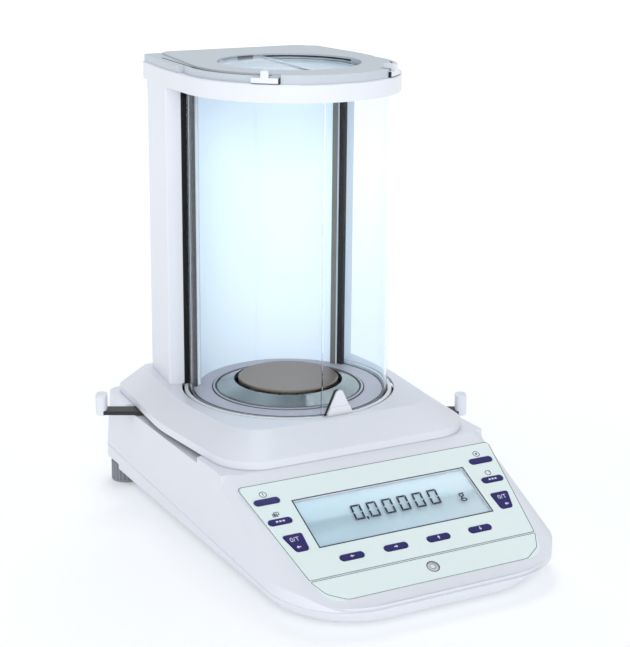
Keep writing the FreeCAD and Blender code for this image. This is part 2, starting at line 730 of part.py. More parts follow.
def make_lever_ring():
    """Black ring under the hood with one arm to each side."""
    body = ring(LEVER_RING_IN, LEVER_RING_OUT, LEVER_Z, LEVER_Z + LEVER_THICK)
    for azimuth, reach in ((LEVER_AZ_LEFT, LEVER_REACH_LEFT), (LEVER_AZ_RIGHT, LEVER_REACH_RIGHT)):
        length = reach - LEVER_RING_OUT + 6
        arm = box(-LEVER_WIDTH / 2, LEVER_WIDTH / 2, -reach, -reach + length, LEVER_Z, LEVER_Z + LEVER_THICK)
        arm.rotate(ORIGIN, UP, azimuth)
        body = body.fuse(arm)
    pin_top = CARRIER_Z + 1.6
    pin = Part.makeCylinder(DOG_R, pin_top - LEVER_Z, polar(DOG_AZ, DOG_PLACE_R, LEVER_Z))
    return body.fuse(pin).removeSplitter()


def make_knob(side):
    """White upright knob on the end of an arm."""
    azimuth = LEVER_AZ_LEFT if side == "left" else LEVER_AZ_RIGHT
    reach = LEVER_REACH_LEFT if side == "left" else LEVER_REACH_RIGHT
    half = KNOB_LONG / 2
    wide = KNOB_WIDE / 2
    corner = wide * 0.9
    outline = [(half, -wide, corner), (half, wide, corner), (-half, wide, corner), (-half, -wide, corner)]
    knob = prism(outline, KNOB_BASE_Z, KNOB_HEIGHT)
    edges = [edge for edge in knob.Edges if abs(edge.BoundBox.ZLength) < 0.01]
    knob = knob.makeFillet(1.2, edges)
    knob.translate(V(0, -reach, 0))
    arm = box(-LEVER_WIDTH / 2, LEVER_WIDTH / 2, -reach, 0, LEVER_Z, LEVER_Z + LEVER_THICK)
    knob = knob.cut(arm)
    knob.rotate(ORIGIN, UP, azimuth)
    return knob


# ---- tower, wall and seals ----

def tower_outline(amount):
    """Plan of the tower's outside."""
    right = [(TOWER_LIP_HALF, TOWER_LIP_Y, 0.6), (TOWER_FRONT_HALF, TOWER_FRONT_Y, 2.0),
             (TOWER_REAR_HALF, TOWER_REAR_Y, 7.0)]
    return shrunk(mirrored(right), amount)


def make_tower():
    """Tower housing: two front pillars and the rear wall, hollow for the doors."""
    height = CAP_Z - DECK_Z
    bore = Part.makeCylinder(TOWER_BORE_R, height + 2, V(0, 0, DECK_Z - 1))
    lining = Part.makeCylinder(TOWER_BORE_R + TOWER_WALL, height + 2, V(0, 0, DECK_Z - 1))
    pocket = prism(tower_outline(TOWER_WALL), DECK_Z + TOWER_WALL, height - 2 * TOWER_WALL).cut(lining)
    pocket = pocket.fuse(pocket.translated(V(0, TOWER_WALL * 2, 0))).common(
        box(-TOWER_REAR_HALF + 5, TOWER_REAR_HALF - 5, TOWER_FRONT_Y, 200, -200, 400))
    body = prism(tower_outline(0), DECK_Z, height).cut(bore).cut(pocket)
    body = body.cut(box(-200, 200, TOWER_REAR_Y - TOWER_WALL, 200, -200, 400))
    for side in ("left", "right"):
        body = body.cut(seal_box(side))
    for x in (-POST_X, POST_X):
        body = body.cut(Part.makeCylinder(POST_R, 10, V(x, POST_Y, DECK_Z - 1)))
    return body


def make_tower_back():
    """Flat cover that closes the tower's back."""
    whole = prism(tower_outline(0), DECK_Z, CAP_Z - DECK_Z)
    return whole.common(box(-200, 200, TOWER_REAR_Y - TOWER_WALL, 200, -200, 400))


def make_tower_posts():
    """Two steel posts from the chassis up into the tower's foot."""
    base = CHASSIS_Z + CHASSIS_THICK
    return Part.makeCompound([Part.makeCylinder(POST_R, DECK_Z + 9 - base, V(x, POST_Y, base))
                              for x in (-POST_X, POST_X)])


def make_wall():
    """Curved rear wall of the chamber, with thickened front edges and a centre seam."""
    low = DECK_Z - 0.6
    wall = sector(WALL_R - WALL_THICK, WALL_R, low, CAP_Z, WALL_AZ, 360 - WALL_AZ)
    for start in (WALL_AZ, 360 - WALL_AZ - WALL_LIP_AZ):
        wall = wall.fuse(sector(WALL_LIP_R, WALL_R, low, CAP_Z, start, start + WALL_LIP_AZ))
    seam = sector(WALL_R - WALL_THICK - 1, WALL_R - WALL_THICK + 0.5, low - 1, CAP_Z + 1, 174.0, 174.6)
    return wall.removeSplitter().cut(seam)


def make_edge_strips():
    """Black guide strips on the wall's two front edges, just inside the glass."""
    low = DECK_Z - 0.7
    gap = 0.05
    return Part.makeCompound([sector(STRIP_IN_R, WALL_R, low, CAP_Z, start, start + STRIP_AZ - gap)
                              for start in (WALL_AZ - STRIP_AZ, 360 - WALL_AZ + gap)])


def seal_box(side):
    """Rebate in the tower's front edge that holds a seal."""
    low, high = TOWER_LIP_HALF - SEAL_WIDTH, TOWER_LIP_HALF
    if side == "left":
        low, high = -high, -low
    front = TOWER_LIP_Y - 0.8
    return box(low, high, front, front + SEAL_DEPTH, DECK_Z, CAP_Z)


def make_seal(side):
    """Black strip between the tower's front edge and the glass."""
    clear = Part.makeCylinder(GLASS_R + SEAL_GAP, CAP_Z - DECK_Z + 2, V(0, 0, DECK_Z - 1))
    return seal_box(side).cut(clear)


# ---- cap and lid ----

def cap_outline(amount):
    """Plan of the cap: round at the front, straight at the sides, narrower at the back."""
    right = [(CAP_R, -CAP_R, CAP_R - 1.0), (CAP_SIDE_HALF, CAP_SIDE_Y, 30.0),
             (CAP_REAR_HALF, CAP_REAR_Y, CAP_REAR_RADIUS)]
    return shrunk(mirrored(right), amount)


def rounded_over(solid, z, radius):
    """Solid with the edges that lie at one height rounded."""
    edges = [edge for edge in solid.Edges
             if abs(edge.BoundBox.ZMin - z) < 0.001 and abs(edge.BoundBox.ZMax - z) < 0.001]
    return solid.makeFillet(radius, edges)


def make_cap_lower():
    """Lower cap ring: ties the tower's top and guides the glass."""
    cap = rounded_over(prism(cap_outline(0), CAP_Z, CAP_SEAM_Z - CAP_Z), CAP_SEAM_Z, EDGE_ROUND)
    cap = cap.cut(Part.makeCylinder(CAP_CLEAR_R, 40, V(0, 0, CAP_Z - 5)))
    channel = ring(GLASS_R - GLASS_THICK - 1.0, GLASS_R + 1.0, CAP_Z - 1, CAP_Z + 10.0)
    for slot in handle_slots():
        channel = channel.fuse(slot)
    return cap.cut(channel)


def handle_slots():
    """The two curved slots that the handles' stems travel in."""
    play = SLOT_PLAY_AZ
    ranges = ((HANDLE_AZ - play, HANDLE_AZ + DOOR_TRAVEL + play),
              (-HANDLE_AZ - DOOR_TRAVEL - play, -HANDLE_AZ + play))
    return [sector(SLOT_R - SLOT_WIDTH / 2, SLOT_R + SLOT_WIDTH / 2, CAP_Z + 5, CAP_TOP_Z + 1, start, end)
            for start, end in ranges]


def handle_tracks():
    """Rebates in the cap's rim where the handles' bars slide."""
    return [sector(TRACK_R, CAP_R + 5, CAP_SEAM_Z - 1, CAP_TOP_Z + 1, start, end)
            for start, end in ((LEDGE_AZ, TRACK_END_AZ), (-TRACK_END_AZ, -LEDGE_AZ))]


def cap_plate():
    """Raised middle of the cap, which reaches out to the rim only at the front."""
    height = CAP_TOP_Z - CAP_SEAM_Z
    corners = [(PLATE_SIDE_HALF, -PLATE_SIDE_HALF, PLATE_SIDE_HALF - 1.0),
               (PLATE_SIDE_HALF, PLATE_SIDE_Y, 60.0),
               (PLATE_REAR_HALF, PLATE_REAR_Y, 12.0)]
    middle = prism(mirrored(corners), CAP_SEAM_Z, height)
    front = sector(0.0, CAP_R + 5, CAP_SEAM_Z, CAP_TOP_Z, -LEDGE_AZ, LEDGE_AZ)
    plate = joined([middle, front.common(prism(cap_outline(CAP_INSET), CAP_SEAM_Z, height))])
    return plate


def side_grooves():
    """Shallow grooves that carry each slot's line on towards the rear corners."""
    reach = GROOVE_WIDTH / 2
    grooves = []
    for sign in (-1, 1):
        centre_front = sign * SLOT_R
        centre_rear = sign * (SLOT_R - 3.6)
        outline = [V(centre_front - reach, -2, 0), V(centre_front + reach, -2, 0),
                   V(centre_rear + reach, GROOVE_END_Y, 0), V(centre_rear - reach, GROOVE_END_Y, 0)]
        face = Part.Face(Part.makePolygon(outline + outline[:1]))
        face.translate(V(0, 0, LEDGE_Z - 2.0))
        grooves.append(face.extrude(V(0, 0, 5)))
    return grooves


def make_cap_upper():
    """Top of the cap: raised plate, lower ledge round it, lid opening and handle slots."""
    ledge = prism(cap_outline(CAP_INSET), CAP_SEAM_Z, LEDGE_Z - CAP_SEAM_Z)
    for track in handle_tracks():
        ledge = ledge.cut(track)
    cap = joined([ledge, cap_plate()])
    cap = cap.cut(Part.makeCylinder(LID_R, 40, V(0, 0, CAP_SEAM_Z - 5)))
    cap = joined([cap, ring(LID_R - LID_LEDGE, LID_R + 1, CAP_SEAM_Z, CAP_SEAM_Z + 1.4)])
    for slot in handle_slots() + side_grooves():
        cap = cap.cut(slot)
    return cap.cut(make_lid_stop())


def make_lid_stop():
    """Black stop at the rear of the opening."""
    low = CAP_SEAM_Z + 1.4
    return sector(LID_R - LID_GAP + 0.1, LID_R + 0.8, low, CAP_TOP_Z - 1.0, 184.0, 200.0)


def make_lid_fixed():
    """Fixed half of the glass lid."""
    low = CAP_SEAM_Z + 1.4
    return sector(0.0, LID_R - LID_GAP, low, low + 1.8, LID_AZ, LID_AZ + 180)


def make_lid_turning():
    """Turning half of the glass lid, just above the fixed half."""
    low = CAP_SEAM_Z + 1.4 + 1.8 + 0.3
    pane = sector(0.0, LID_R - LID_GAP, low, low + 1.8, LID_AZ + 180, LID_AZ + 360)
    grip = sector(LID_R - 6, LID_R - LID_GAP - 1.0, low + 1.8, low + 3.4, LID_AZ + 300, LID_AZ + 312)
    return joined([pane, grip])


# ---- feet, chassis and inside ----

def foot_spots():
    """Centres of the four feet, rear pair first."""
    return ((-FOOT_X, FOOT_REAR_Y), (FOOT_X, FOOT_REAR_Y), (-FOOT_FRONT_X, FOOT_FRONT_Y),
            (FOOT_FRONT_X, FOOT_FRONT_Y))


def make_levelling_foot(x, y):
    """Ribbed levelling foot on its screw."""
    body = Part.makeCylinder(FOOT_R, FOOT_HEIGHT, V(x, y, BENCH_Z))
    for step in range(24):
        turn = math.radians(step * 15)
        groove = Part.makeCylinder(0.9, FOOT_HEIGHT, V(x + FOOT_R * math.cos(turn), y + FOOT_R * math.sin(turn),
                                                       BENCH_Z + 2))
        body = body.cut(groove)
    screw = Part.makeCylinder(SCREW_R, SCREW_TOP_Z - BENCH_Z - 1, V(x, y, BENCH_Z + 1))
    return joined([body, screw])


def make_front_feet():
    """Plain rubber feet at the front."""
    return Part.makeCompound([Part.makeCone(8.5, 10.0, TRAY_BASE_Z - BENCH_Z, V(x, FOOT_FRONT_Y, BENCH_Z))
                              for x in (-FOOT_FRONT_X, FOOT_FRONT_X)])


def make_chassis():
    """Aluminium plate that carries the load cell, the casting and the tower's posts."""
    plate = box(-CHASSIS_HALF, CHASSIS_HALF, CHASSIS_FRONT_Y, CHASSIS_REAR_Y,
                CHASSIS_Z, CHASSIS_Z + CHASSIS_THICK)
    pads = [Part.makeCylinder(5, CHASSIS_Z - TRAY_BASE_Z - HOUSING_WALL, V(x, y, TRAY_BASE_Z + HOUSING_WALL))
            for x in (-80, 80) for y in (CHASSIS_FRONT_Y + 12, CHASSIS_REAR_Y - 12)]
    tongue = box(-POST_X - 10, POST_X + 10, CHASSIS_REAR_Y - 1, POST_Y + 10,
                 CHASSIS_Z, CHASSIS_Z + CHASSIS_THICK)
    return joined([plate, tongue] + pads)


def make_load_cell():
    """Weighing cell, one slotted metal block."""
    base = CHASSIS_Z + CHASSIS_THICK
    block = box(-CELL_HALF, CELL_HALF, CELL_FRONT_Y, CELL_REAR_Y, base, CELL_TOP_Z)
    for z in (base + 12, CELL_TOP_Z - 8):
        block = block.cut(box(-CELL_HALF - 1, CELL_HALF + 1, CELL_FRONT_Y + 12, CELL_REAR_Y - 14, z, z + 2.2))
    return block


def make_cal_weight():
    """Adjustment weight, a steel roll on its lifting fork's seat."""
    roll = Part.makeCylinder(CAL_WEIGHT_R, 2 * CAL_WEIGHT_HALF, V(-CAL_WEIGHT_HALF, CAL_Y, -64), V(1, 0, 0))
    return roll


def make_cal_fork():
    """Lifting fork under the adjustment weight."""
    arms = []
    for x in (-CAL_WEIGHT_HALF + 3, CAL_WEIGHT_HALF - 7):
        arm = box(x, x + 4, CAL_Y - 8, CAL_Y + 8, -82, -66)
        arms.append(arm.cut(Part.makeCylinder(CAL_WEIGHT_R, 60, V(-30, CAL_Y, -64), V(1, 0, 0))))
    bar = box(-CAL_WEIGHT_HALF + 3, CAL_WEIGHT_HALF - 3, CAL_Y - 8, CAL_Y + 8, -85, -82)
    return joined(arms + [bar])


def make_cal_motor():
    """Gear motor beside the fork."""
    base = CHASSIS_Z + CHASSIS_THICK
    body = Part.makeCylinder(10, 26, V(24, CAL_Y, base + 10), V(1, 0, 0))
    return joined([body, box(27, 47, CAL_Y - 8, CAL_Y + 8, base, base + 6)])


def make_main_board():
    """Main circuit board in the console, on its pillars."""
    z = TRAY_BASE_Z + HOUSING_WALL + 5
    board = box(-78, 78, -190, -128, z, z + 1.6)
    parts = [Part.makeCylinder(3, 5.2, V(x, y, TRAY_BASE_Z + HOUSING_WALL))
             for x in (-70, 70) for y in (-184, -134)]
    parts += [box(-30, -6, -175, -150, z + 1.5, z + 4.5), box(10, 50, -170, -158, z + 1.5, z + 8)]
    return joined([board] + parts)


def socket_holes():
    """Openings in the rear wall for the sockets."""
    return [box(JACK_X - 7, JACK_X + 7, BASE_REAR_Y - 12, 200, SOCKET_Z - 6, SOCKET_Z + 6),
            box(PORT_X - 16, PORT_X + 16, BASE_REAR_Y - 12, 200, SOCKET_Z - 6, SOCKET_Z + 6)]


def make_power_socket():
    """Low-voltage power socket."""
    rear = BASE_REAR_Y - 2.0
    block = box(JACK_X - 7, JACK_X + 7, rear - 14, rear, SOCKET_Z - 6, SOCKET_Z + 6)
    return block.cut(Part.makeCylinder(JACK_R, JACK_DEPTH, V(JACK_X, rear, SOCKET_Z), V(0, -1, 0)))


def make_serial_port():
    """Nine-pin data socket."""
    rear = BASE_REAR_Y - 2.0
    block = box(PORT_X - 16, PORT_X + 16, rear - 12, rear, SOCKET_Z - 6, SOCKET_Z + 6)
    block = block.cut(box(PORT_X - 8.5, PORT_X + 8.5, rear - PORT_DEPTH, rear + 1,
                          SOCKET_Z - 4.2, SOCKET_Z + 4.2))
    pins = []
    for row, count in ((1.4, 5), (-1.4, 4)):
        for i in range(count):
            x = PORT_X + (i - (count - 1) / 2) * PORT_PITCH
            pins.append(Part.makeCylinder(0.5, PORT_DEPTH, V(x, rear - PORT_DEPTH - 0.5, SOCKET_Z + row),
                                          V(0, 1, 0)))
    return joined([block] + pins)


def save(name, shape):
    """One piece to its own file."""
    shape.exportStep("parts/" + name + ".step")
    print(name, shape.isValid(), len(shape.Solids), round(shape.Volume))


def main():
    os.makedirs("parts", exist_ok=True)
    save("lower_tray", make_tray())
    save("upper_cover", make_cover())
    save("hood", make_hood())
    save("turntable_base", make_turntable())
    save("chamber_floor", make_floor())
    save("overlay_sheet", make_overlay())
    save("label_strip", make_strip())
    save("display_window", make_window())
    save("display_module", make_display())
    save("key_board", make_key_board())
    cup, glass = make_level()
    save("level_cup", cup)
    save("level_vial", glass)
    for spot in key_spots():
        save(spot[0], make_key(spot))
    save("weighing_pan", make_pan())
    save("pan_stem", make_pan_stem())
    save("draft_ring", make_draft_ring())
    for side in ("left", "right"):
        save("door_glass_" + side, make_door_glass(side))
        save("door_rail_" + side, make_door_ring(side))
        save("door_top_" + side, make_door_top(side))
        save("door_handle_" + side, make_handle(side))
        save("seal_" + side, make_seal(side))
        save("lever_knob_" + side, make_knob(side))
    save("front_grip", make_front_grip())
    save("lever_ring", make_lever_ring())
    save("tower", make_tower())
    save("chamber_wall", make_wall())
    save("edge_strips", make_edge_strips())
    save("cap_lower", make_cap_lower())
    save("cap_upper", make_cap_upper())
    save("lid_fixed", make_lid_fixed())
    save("lid_turning", make_lid_turning())
    spots = foot_spots()
    save("levelling_foot_left", make_levelling_foot(*spots[0]))
    save("levelling_foot_right", make_levelling_foot(*spots[1]))
    save("front_feet", make_front_feet())
    save("tower_back", make_tower_back())
    save("tower_posts", make_tower_posts())
    save("lid_stop", make_lid_stop())
    save("chassis", make_chassis())
    save("load_cell", make_load_cell())
    save("cal_weight", make_cal_weight())
    save("cal_fork", make_cal_fork())
    save("cal_motor", make_cal_motor())
    save("main_board", make_main_board())
    save("power_socket", make_power_socket())
    save("serial_port", make_serial_port())


main()
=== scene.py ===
import bmesh
import bpy
import json
import math
from mathutils import Matrix, Vector


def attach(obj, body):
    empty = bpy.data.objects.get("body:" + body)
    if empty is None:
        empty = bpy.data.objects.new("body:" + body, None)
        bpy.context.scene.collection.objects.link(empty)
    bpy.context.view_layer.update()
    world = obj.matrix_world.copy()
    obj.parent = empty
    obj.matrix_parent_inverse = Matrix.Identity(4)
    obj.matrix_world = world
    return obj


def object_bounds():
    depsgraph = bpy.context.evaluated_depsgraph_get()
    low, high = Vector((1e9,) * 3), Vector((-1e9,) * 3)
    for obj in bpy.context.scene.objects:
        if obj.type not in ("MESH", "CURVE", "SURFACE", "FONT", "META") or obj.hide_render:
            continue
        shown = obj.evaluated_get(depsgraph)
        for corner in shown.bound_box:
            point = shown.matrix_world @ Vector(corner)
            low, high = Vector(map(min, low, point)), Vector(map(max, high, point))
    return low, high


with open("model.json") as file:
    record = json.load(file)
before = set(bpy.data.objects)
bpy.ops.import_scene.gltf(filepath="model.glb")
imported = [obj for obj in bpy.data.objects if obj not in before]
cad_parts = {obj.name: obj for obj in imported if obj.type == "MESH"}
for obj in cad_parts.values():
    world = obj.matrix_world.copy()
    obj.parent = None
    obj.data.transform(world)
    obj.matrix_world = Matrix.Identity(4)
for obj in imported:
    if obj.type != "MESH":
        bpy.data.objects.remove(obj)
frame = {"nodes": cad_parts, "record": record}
cad_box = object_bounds()

# ---- camera: a long lens from the front left, looking slightly down ----
CAMERA_PLACE = (-0.5765, -1.1048, 0.3963)
CAMERA_YAW = 28.53
CAMERA_PITCH = -15.82
CAMERA_ROLL = 0.50
LENS_MM = 93.0
SENSOR_MM = 36.0

BENCH_Z = cad_box[0][2]
MM = 0.001

# ---- console plane: x across, t up the slope, h out of it, in millimetres ----
PANEL_TILT = math.radians(25.46)
PANEL_PLACE = Vector((0, -145.66, -42.59))
OVERLAY_H = 0.42
WINDOW_H = 0.04
KEY_H = 0.92

# ---- chamber and cap, in millimetres ----
PAN_R = 40.0
DRAFT_IN_R = 43.4
DRAFT_OUT_R = 57.3
FLOOR_TOP_Z = -8.7
RAIL_FOOT_Z = -12.1
LEDGE_Z = 249.2
CAP_SEAM_Z = 244.0
LID_R = 55.0
SLOT_IN_R = 77.0
SLOT_OUT_R = 79.4
TRACK_R = 82.6
RIM_R = 86.5
HANDLE_AZ = 39.5
HANDLE_SPAN = 13.4
WALL_LIP_R = 70.5

# ---- colours, linear ----
WHITE = (0.80, 0.825, 0.885)
GREY_CAP = (0.56, 0.615, 0.67)
INK = (0.018, 0.018, 0.05)
BLACK = (0.008, 0.008, 0.010)


# ---- studio ----
WORLD_LIGHT = 0.62
WORLD_SEEN_EXTRA = 0.50
FLOOR_HALF = 14.0
GLOW_FROM = 0.35
GLOW_TO = 1.6
GLOW_NEAR = 0.20
GLOW_FAR = 0.60
SHADOW_CLEARNESS = 0.92

# ---- painted shade in grooves and gaps, and trim, of chamber and cap, in millimetres ----
GROOVE_IN = 77.0
GROOVE_OUT = 79.2
GROOVE_LEAN = 3.6 / 74
GROOVE_START_Y = -2
GROOVE_END_Y = 72.2
LEDGE_END_AZ = 31.8
CHANNEL_IN_R = 76.1
CHANNEL_OUT_R = 80.25
CHANNEL_FLOOR_Z = 231.5
SEAT_SHADE_IN_R = 60.25
SEAT_SHADE_OUT_R = 61.3
FLOOR_SHADE_IN_R = 75.3
FLOOR_SHADE_OUT_R = 76.4
LEVEL_T = -83.2


# ---- camera, floor and light ----

def aim_camera():
    """Camera with its own yaw, pitch and roll."""
    yaw = math.radians(CAMERA_YAW)
    pitch = math.radians(CAMERA_PITCH)
    roll = math.radians(CAMERA_ROLL)
    forward = Vector((math.sin(yaw) * math.cos(pitch), math.cos(yaw) * math.cos(pitch), math.sin(pitch)))
    level = Vector((math.cos(yaw), -math.sin(yaw), 0))
    upright = level.cross(forward)
    right = level * math.cos(roll) + upright * math.sin(roll)
    up = upright * math.cos(roll) - level * math.sin(roll)
    data = bpy.data.cameras.new("studio_camera")
    data.lens = LENS_MM
    data.sensor_width = SENSOR_MM
    data.sensor_fit = "HORIZONTAL"
    camera = bpy.data.objects.new("studio_camera", data)
    rotation = Matrix((right, up, -forward)).transposed()
    camera.matrix_world = Matrix.Translation(CAMERA_PLACE) @ rotation.to_4x4()
    bpy.context.collection.objects.link(camera)
    bpy.context.scene.camera = camera


def area_light(name, place, target, size, power, colour=(1, 1, 1)):
    """Soft rectangular light aimed at a point."""
    data = bpy.data.lights.new(name, "AREA")
    data.shape = "RECTANGLE"
    data.size = size[0]
    data.size_y = size[1]
    data.energy = power
    data.color = colour
    lamp = bpy.data.objects.new(name, data)
    lamp.location = place
    lamp.rotation_euler = (Vector(target) - Vector(place)).to_track_quat("-Z", "Y").to_euler()
    bpy.context.collection.objects.link(lamp)


def make_floor():
    """Wide pale floor under the feet, which glows more with distance."""
    mesh = bpy.data.meshes.new("studio_floor")
    work = bmesh.new()
    bmesh.ops.create_grid(work, x_segments=1, y_segments=1, size=FLOOR_HALF)
    bmesh.ops.translate(work, verts=work.verts, vec=(0, 0, BENCH_Z))
    work.to_mesh(mesh)
    work.free()
    floor = bpy.data.objects.new("studio_floor", mesh)
    bpy.context.collection.objects.link(floor)
    material = bpy.data.materials.new("pale_floor")
    material.use_nodes = True
    shader = material.node_tree.nodes["Principled BSDF"]
    shader.inputs["Base Color"].default_value = (0.90, 0.91, 0.92, 1)
    shader.inputs["Roughness"].default_value = 0.9
    shader.inputs["Emission Color"].default_value = (1, 1, 1, 1)
    coords = material.node_tree.nodes.new("ShaderNodeTexCoord")
    reach = material.node_tree.nodes.new("ShaderNodeVectorMath")
    reach.operation = "LENGTH"
    material.node_tree.links.new(coords.outputs["Object"], reach.inputs[0])
    glow = material.node_tree.nodes.new("ShaderNodeMapRange")
    glow.inputs["From Min"].default_value = GLOW_FROM
    glow.inputs["From Max"].default_value = GLOW_TO
    glow.inputs["To Min"].default_value = GLOW_NEAR
    glow.inputs["To Max"].default_value = GLOW_FAR
    material.node_tree.links.new(reach.outputs["Value"], glow.inputs["Value"])
    material.node_tree.links.new(glow.outputs["Result"], shader.inputs["Emission Strength"])
    mesh.materials.append(material)


def make_world():
    """Even white surroundings, seen brighter than they light."""
    world = bpy.data.worlds.new("studio")
    world.use_nodes = True
    background = world.node_tree.nodes["Background"]
    background.inputs["Color"].default_value = (0.94, 0.965, 1.0, 1)
    path = world.node_tree.nodes.new("ShaderNodeLightPath")
    seen = world.node_tree.nodes.new("ShaderNodeMath")
    seen.operation = "MAXIMUM"
    world.node_tree.links.new(path.outputs["Is Camera Ray"], seen.inputs[0])
    world.node_tree.links.new(path.outputs["Is Transmission Ray"], seen.inputs[1])
    strength = world.node_tree.nodes.new("ShaderNodeMath")
    strength.operation = "MULTIPLY_ADD"
    world.node_tree.links.new(seen.outputs[0], strength.inputs[0])
    strength.inputs[1].default_value = WORLD_SEEN_EXTRA
    strength.inputs[2].default_value = WORLD_LIGHT
    world.node_tree.links.new(strength.outputs[0], background.inputs["Strength"])
    bpy.context.scene.world = world
    bpy.context.scene.view_settings.view_transform = "Standard"


# ---- shared node groups ----

def new_group(name, inputs, outputs):
    """Empty shader group with its sockets, and its input and output nodes."""
    group = bpy.data.node_groups.new(name, "ShaderNodeTree")
    for label, kind, value in inputs:
        socket = group.interface.new_socket(label, in_out="INPUT", socket_type=kind)
        if value is not None:
            socket.default_value = value
    for label, kind in outputs:
        group.interface.new_socket(label, in_out="OUTPUT", socket_type=kind)
    return group, group.nodes.new("NodeGroupInput"), group.nodes.new("NodeGroupOutput")


def make_mottle():
    """Group that lightens and darkens a colour a little from place to place."""
    group, source, result = new_group("mottle", [("Vector", "NodeSocketVector", None),
                                                 ("Colour", "NodeSocketColor", (1, 1, 1, 1)),
                                                 ("Amount", "NodeSocketFloat", 0.03),
                                                 ("Scale", "NodeSocketFloat", 20.0)],
                                      [("Colour", "NodeSocketColor")])
    noise = group.nodes.new("ShaderNodeTexNoise")
    group.links.new(source.outputs["Vector"], noise.inputs["Vector"])
    group.links.new(source.outputs["Scale"], noise.inputs["Scale"])
    centred = group.nodes.new("ShaderNodeMath")
    centred.operation = "SUBTRACT"
    group.links.new(noise.outputs["Fac"], centred.inputs[0])
    centred.inputs[1].default_value = 0.5
    spread = group.nodes.new("ShaderNodeMath")
    spread.operation = "MULTIPLY_ADD"
    group.links.new(centred.outputs[0], spread.inputs[0])
    group.links.new(source.outputs["Amount"], spread.inputs[1])
    spread.inputs[2].default_value = 1.0
    shade = group.nodes.new("ShaderNodeVectorMath")
    shade.operation = "SCALE"
    group.links.new(source.outputs["Colour"], shade.inputs[0])
    group.links.new(spread.outputs[0], shade.inputs["Scale"])
    group.links.new(shade.outputs[0], result.inputs["Colour"])
    return group


def make_grain():
    """Group with the fine moulded grain of a surface, as a normal."""
    group, source, result = new_group("grain", [("Vector", "NodeSocketVector", None),
                                                ("Scale", "NodeSocketFloat", 900.0),
                                                ("Depth", "NodeSocketFloat", 0.1)],
                                      [("Normal", "NodeSocketVector")])
    noise = group.nodes.new("ShaderNodeTexNoise")
    group.links.new(source.outputs["Vector"], noise.inputs["Vector"])
    group.links.new(source.outputs["Scale"], noise.inputs["Scale"])
    bump = group.nodes.new("ShaderNodeBump")
    bump.inputs["Distance"].default_value = 0.0002
    group.links.new(source.outputs["Depth"], bump.inputs["Strength"])
    group.links.new(noise.outputs["Fac"], bump.inputs["Height"])
    group.links.new(bump.outputs["Normal"], result.inputs["Normal"])
    return group


def make_turning():
    """Group with the fine rings that a lathe leaves about the pan's axis: a shade from 0 to 1."""
    group, source, result = new_group("turning", [("Vector", "NodeSocketVector", None),
                                                  ("Scale", "NodeSocketFloat", 900.0)],
                                      [("Shade", "NodeSocketFloat")])
    flat = group.nodes.new("ShaderNodeVectorMath")
    flat.operation = "MULTIPLY"
    flat.inputs[1].default_value = (1, 1, 0)
    group.links.new(source.outputs["Vector"], flat.inputs[0])
    length = group.nodes.new("ShaderNodeVectorMath")
    length.operation = "LENGTH"
    group.links.new(flat.outputs[0], length.inputs[0])
    noise = group.nodes.new("ShaderNodeTexNoise")
    noise.noise_dimensions = "1D"
    noise.inputs["Detail"].default_value = 4.0
    group.links.new(length.outputs["Value"], noise.inputs["W"])
    group.links.new(source.outputs["Scale"], noise.inputs["Scale"])
    group.links.new(noise.outputs["Fac"], result.inputs["Shade"])
    return group


MOTTLE = make_mottle()
GRAIN = make_grain()
TURNING = make_turning()


# ---- materials ----

def calc(tree, operation, *values):
    """Maths node on sockets or numbers; returns its output."""
    node = tree.nodes.new("ShaderNodeMath")
    node.operation = operation
    for index, value in enumerate(values):
        if isinstance(value, (int, float)):
            node.inputs[index].default_value = value
        else:
            tree.links.new(value, node.inputs[index])
    return node.outputs[0]


def place_of(tree):
    """Sockets x, y, z and the radius about the pan's axis, in metres."""
    coords = tree.nodes.new("ShaderNodeTexCoord")
    parts = tree.nodes.new("ShaderNodeSeparateXYZ")
    tree.links.new(coords.outputs["Object"], parts.inputs[0])
    x, y, z = parts.outputs[0], parts.outputs[1], parts.outputs[2]
    radius = calc(tree, "SQRT", calc(tree, "ADD", calc(tree, "MULTIPLY", x, x), calc(tree, "MULTIPLY", y, y)))
    return x, y, z, radius


def between(tree, value, low, high):
    """Mask that is 1 where a value in metres lies between two limits in millimetres."""
    over = calc(tree, "GREATER_THAN", value, low * MM)
    under = calc(tree, "LESS_THAN", value, high * MM)
    return calc(tree, "MULTIPLY", over, under)


def blended(tree, mask, first, second):
    """Colour socket that goes from the first to the second colour by a mask."""
    mix = tree.nodes.new("ShaderNodeMix")
    mix.data_type = "RGBA"
    tree.links.new(mask, mix.inputs["Factor"])
    for socket, colour in ((mix.inputs[6], first), (mix.inputs[7], second)):
        if isinstance(colour, tuple):
            socket.default_value = (*colour, 1)
        else:
            tree.links.new(colour, socket)
    return mix.outputs[2]


